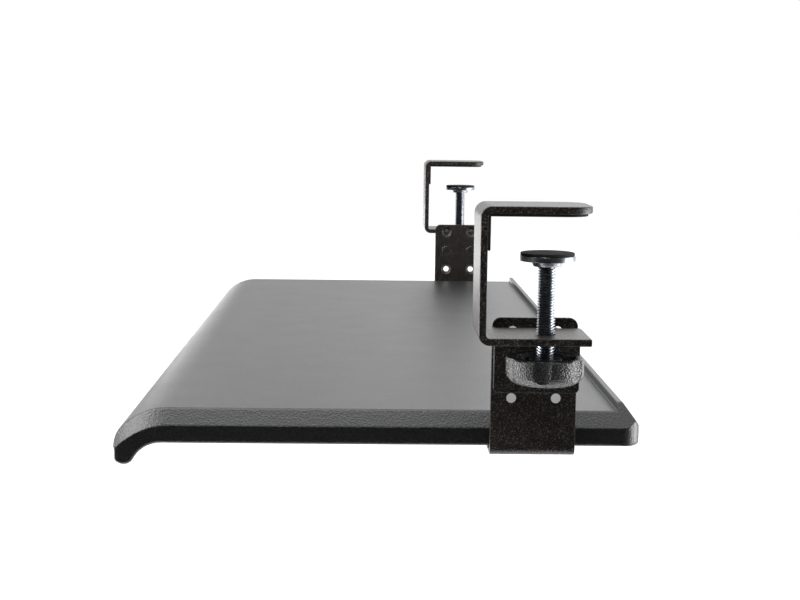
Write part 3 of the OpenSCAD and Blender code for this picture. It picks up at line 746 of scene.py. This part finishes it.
rolledThread = threadTree(threadSizes["rodSides"])
for side in sides:
    s = threadSizes
    low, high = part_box("clamp_screw_" + side)
    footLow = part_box("pressure_foot_" + side)[0]
    axis = (low + high) / 2
    bottom, shoulder = low.z + s["pitch"] / 2, footLow.z - s["underFoot"]
    made = newPiece("clamp_screw_thread_" + side, bpy.data.meshes.new("thread"), zincPlate)
    giveTree(made, rolledThread, {
        "Place": (axis.x, axis.y, bottom), "Tip Place": (axis.x, axis.y, shoulder - s["pitch"]),
        "Turns": (shoulder - bottom) / s["pitch"], "Length": shoulder - bottom,
        "Tip Length": high.z - shoulder + s["pitch"], "Core": s["core"],
        "Middle": (s["core"] + s["crest"] - s["sink"]) / 2, "Ridge": s["crest"] - s["core"] + s["sink"],
        "Crest Width": s["crestWidth"], "Root Width": s["rootWidth"], "Tip": s["tip"],
        "Per Turn": s["perTurn"], "Finish": zincPlate})
    smoothUpTo(made.data, s["shade"])
    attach(made, "screw_" + side)
    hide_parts("clamp_screw_" + side)
    print("stage: clamp screw", side, len(made.data.polygons), "faces")


# Screws that repeat along a rail or a bracket

headSizes = {
    "rail_screws": {
        "body": "tray", "slot": "zinc_plate", "material": zincPlate, "count": 4, "facing": (0, 0, -1),
        "radius": 3.4 * mm, "rim": 0.5 * mm, "dome": 1.9 * mm, "shank": 1.7 * mm,
        "socket": 1.5 * mm, "corners": 4, "socketDepth": 1.1 * mm},
    "height_screws": {
        "body": "clamps", "slot": "powder_coat", "material": blackScrew, "count": 2, "facing": (-1, 0, 0),
        "radius": 4.85 * mm, "rim": 0.45 * mm, "dome": 0.0 * mm, "shank": 2.45 * mm,
        "socket": 1.73 * mm, "corners": 6, "socketDepth": 1.8 * mm},
}
screwRules = {"spins": 36, "domeTurns": (20, 38, 54), "tipEdge": 0.4 * mm, "slot": 0.35, "leastSine": 0.2}


def screwSample(name, s, length):
    rules = screwRules
    bm = bmesh.new()
    spins = rules["spins"]
    turns = [2 * math.pi * k / spins for k in range(spins)]
    if s["dome"] > 0:
        rows = [(s["shank"], 0), (s["radius"], 0), (s["radius"], s["rim"])]
        rows += [(s["radius"] * math.cos(a), s["rim"] + s["dome"] * math.sin(a))
                 for a in (math.radians(d) for d in rules["domeTurns"])]
    else:
        rows = [(s["shank"], s["shank"] - s["radius"]), (s["radius"], 0)]
        rows.append((s["radius"] - s["rim"], s["rim"]))
    face = rows[-1][1]
    tip = rules["tipEdge"]
    rows = [(s["shank"] - tip, face - length), (s["shank"], face - length + tip)] + rows
    rings = []
    for r, z in rows:
        rings.append([bm.verts.new((r * math.cos(a), r * math.sin(a), z)) for a in turns])
    for a, b in zip(rings, rings[1:]):
        bridge(bm, a, b)
    bm.faces.new(rings[0])

    def socketReach(angle):
        sector = 2 * math.pi / s["corners"]
        off = (angle + sector / 2) % sector - sector / 2
        if s["corners"] == 6:
            return s["socket"] * math.cos(sector / 2) / math.cos(off)
        opening = max(math.sin(abs(off)), rules["leastSine"])
        return min(s["socket"], rules["slot"] * s["socket"] / opening)

    socket = [(socketReach(a) * math.cos(a), socketReach(a) * math.sin(a)) for a in turns]
    for drop in (0, s["socketDepth"]):
        rings.append([bm.verts.new((x, y, face - drop)) for x, y in socket])
        bridge(bm, *rings[-2:])
    middle = bm.verts.new((0, 0, face - s["socketDepth"]))
    for k in range(spins):
        bm.faces.new((rings[-1][k], rings[-1][(k + 1) % spins], middle))
    bmesh.ops.recalc_face_normals(bm, faces=bm.faces)
    bmesh.ops.translate(bm, verts=bm.verts, vec=(0, 0, -face))
    return newPiece(name, meshFrom(bm, name), s["material"])


for nodeName, s in headSizes.items():
    for side, way in sides.items():
        low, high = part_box(nodeName + "_" + side)
        facing = Vector((s["facing"][0] * way, s["facing"][1], s["facing"][2]))
        spanY = high.y - low.y - 2 * s["radius"]
        if facing.z:
            sample = screwSample("screwSample", s, high.z - low.z)
            start = ((low.x + high.x) / 2, low.y + s["radius"], low.z)
        else:
            sample = screwSample("screwSample", s, high.x - low.x)
            start = (low.x if way > 0 else high.x, low.y + s["radius"], (low.z + high.z) / 2)
        sample.data.transform(Vector((0, 0, 1)).rotation_difference(facing).to_matrix().to_4x4())
        made = makeRow(nodeName + "_row_" + side, sample, s["count"], start,
                       (0, spanY / (s["count"] - 1), 0), s["material"])
        bpy.data.objects.remove(sample)
        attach(made, s["body"])
        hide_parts(nodeName + "_" + side)
print("stage: screws placed")


# Solids whose shape is kept as it is

keptSolids = {"roller_axles": zincPlate, "roller_front": rollerNylon, "roller_rear": rollerNylon}
for nodeName, material in keptSolids.items():
    for side in sides:
        mesh = frame["nodes"][nodeName + "_" + side].data
        mesh.materials.clear()
        mesh.materials.append(material)
print("stage: kept solids painted")


# Floor, light and camera

floorLook = {
    "z": -0.72, "size": 9.0, "shift": -3.7, "cells": 12, "cloudSize": 0.8,
    "dark": (0.86, 0.86, 0.86), "light": (0.90, 0.90, 0.90), "roughness": 0.9, "specular": 0.1, "glow": 0.3,
}
worldLook = {
    "white": 1.0, "glow": 1.08, "dim": 0.018, "rightGain": 1.55, "lowGain": 0.65,
    "fadeX": (0.10, 0.60), "fadeY": (-0.05, 0.16), "fadeZ": (0.03, 0.10),
}
softboxes = {                # power is the brightness of a panel's face
    "left": {"place": (-0.3, -1.7, -0.4), "aim": (0.3, 0.0, -0.1), "size": (1.7, 0.55), "power": 14.0},
    "upper": {"place": (0.2, -1.35, 1.15), "aim": (0.3, -0.1, -0.1), "size": (1.2, 1.0), "power": 8.0},
    "right": {"place": (0.2, 1.8, -0.4), "aim": (0.3, 0.0, -0.1), "size": (1.3, 0.55), "power": 11.0},
    "top": {"place": (0.0, -0.35, 1.7), "aim": (0.1, -0.1, -0.1), "size": (1.0, 1.4), "power": 3.1},
    "front": {"place": (1.7, -0.3, 1.3), "aim": (0.4, 0.0, -0.05), "size": (0.5, 0.4), "power": 12.0},
    "low": {"place": (0.3, -0.38, -0.66), "aim": (0.33, -0.25, -0.13), "size": (0.28, 0.28), "power": 6.0},
    "back": {"place": (-2.0, -0.42, -0.24), "aim": (0.4, 0.0, -0.1), "size": (0.5, 0.18), "power": 4.0},
    "roll": {"place": (-2.0, -0.68, -0.04), "aim": (0.2, -0.1, -0.12), "size": (0.45, 0.22), "power": 1.25},
}


# The floor lets views from below look through it
def floorMaterial(look):
    made, tree, shader, where = startMaterial("paleFloor")
    cloud = noise(tree, where, look["cloudSize"], detail=3)
    tree.links.new(twoTone(tree, cloud, noiseSpan, look["dark"], look["light"]), shader.inputs["Base Color"])
    shader.inputs["Roughness"].default_value = look["roughness"]
    shader.inputs["Specular IOR Level"].default_value = look["specular"]
    shader.inputs["Emission Color"].default_value = (1, 1, 1, 1)
    shader.inputs["Emission Strength"].default_value = look["glow"]
    clear = tree.nodes.new("ShaderNodeBsdfTransparent")
    mix = tree.nodes.new("ShaderNodeMixShader")
    facing = tree.nodes.new("ShaderNodeNewGeometry")
    out = next(n for n in tree.nodes if n.bl_idname == "ShaderNodeOutputMaterial")
    tree.links.new(facing.outputs["Backfacing"], mix.inputs["Fac"])
    tree.links.new(shader.outputs["BSDF"], mix.inputs[1])
    tree.links.new(clear.outputs["BSDF"], mix.inputs[2])
    tree.links.new(mix.outputs["Shader"], out.inputs["Surface"])
    return made


# White to the camera, and a room that is bright behind the part and dark in front of it for the rest
def studioWorld(s):
    world = bpy.data.worlds.new("studio")
    bpy.context.scene.world = world
    world.use_nodes = True
    tree = world.node_tree
    tree.nodes.clear()
    where = tree.nodes.new("ShaderNodeTexCoord").outputs["Generated"]
    split = tree.nodes.new("ShaderNodeSeparateXYZ")
    tree.links.new(where, split.inputs["Vector"])
    ahead = spread(tree, split.outputs["X"], *s["fadeX"], s["glow"], s["dim"], True)
    across = spread(tree, split.outputs["Y"], *s["fadeY"], 1.0, s["rightGain"], True)
    above = spread(tree, split.outputs["Z"], *s["fadeZ"], s["lowGain"], 1.0, True)
    strength = times(tree, times(tree, ahead, across), above)
    seen = tree.nodes.new("ShaderNodeLightPath").outputs["Is Camera Ray"]
    plain = tree.nodes.new("ShaderNodeBackground")
    lit = tree.nodes.new("ShaderNodeBackground")
    tree.links.new(strength, lit.inputs["Strength"])
    pick = tree.nodes.new("ShaderNodeMixShader")
    out = tree.nodes.new("ShaderNodeOutputWorld")
    for shade in (plain, lit):
        shade.inputs["Color"].default_value = (1, 1, 1, 1)
    plain.inputs["Strength"].default_value = s["white"]
    tree.links.new(seen, pick.inputs["Fac"])
    tree.links.new(lit.outputs["Background"], pick.inputs[1])
    tree.links.new(plain.outputs["Background"], pick.inputs[2])
    tree.links.new(pick.outputs["Shader"], out.inputs["Surface"])


def studioFloor(look):
    bm = bmesh.new()
    bmesh.ops.create_grid(bm, x_segments=look["cells"], y_segments=look["cells"], size=look["size"] / 2)
    bmesh.ops.translate(bm, verts=bm.verts, vec=(look["shift"], 0, look["z"]))
    floor = newPiece("floor", meshFrom(bm, "floor"), floorMaterial(look))


def studioLight(name, box):
    light = bpy.data.lights.new("softbox_" + name, "AREA")
    light.shape = "RECTANGLE"
    light.size, light.size_y = box["size"]
    light.energy = box["power"] * math.pi * light.size * light.size_y
    lamp = bpy.data.objects.new("softbox_" + name, light)
    toward = Vector(box["aim"]) - Vector(box["place"])
    turn = toward.to_track_quat("-Z", "Y").to_matrix().to_4x4()
    lamp.matrix_world = Matrix.Translation(box["place"]) @ turn
    lamp.visible_camera = False
    bpy.context.scene.collection.objects.link(lamp)


cameraSizes = {
    "place": (1.1399, -0.0644, 0.0516), "yaw": 1.333, "pitch": 7.258, "roll": 0.727,
    "focalPixels": 1450.9, "imageWidth": 800, "sensor": 36.0, "near": 0.01, "far": 100,
}


def photoCamera(s):
    yaw, pitch, roll = (math.radians(s[k]) for k in ("yaw", "pitch", "roll"))
    level = math.cos(pitch)
    ahead = Vector((-math.cos(yaw) * level, math.sin(yaw) * level, -math.sin(pitch)))
    across = ahead.cross(Vector((0, 0, 1))).normalized()
    up = across.cross(ahead)
    right = across * math.cos(roll) + up * math.sin(roll)
    over = up * math.cos(roll) - across * math.sin(roll)
    data = bpy.data.cameras.new("photoCamera")
    data.sensor_width = s["sensor"]
    data.lens = s["focalPixels"] / s["imageWidth"] * s["sensor"]
    data.clip_start, data.clip_end = s["near"], s["far"]
    made = bpy.data.objects.new("photoCamera", data)
    turn = Matrix((right, over, -ahead)).transposed()
    made.matrix_world = Matrix.Translation(s["place"]) @ turn.to_4x4()
    bpy.context.scene.collection.objects.link(made)
    bpy.context.scene.camera = made


studioFloor(floorLook)
studioWorld(worldLook)
for name, box in softboxes.items():
    studioLight(name, box)
photoCamera(cameraSizes)
bpy.context.scene.view_settings.view_transform = "Standard"
print("stage: floor, light and camera set")
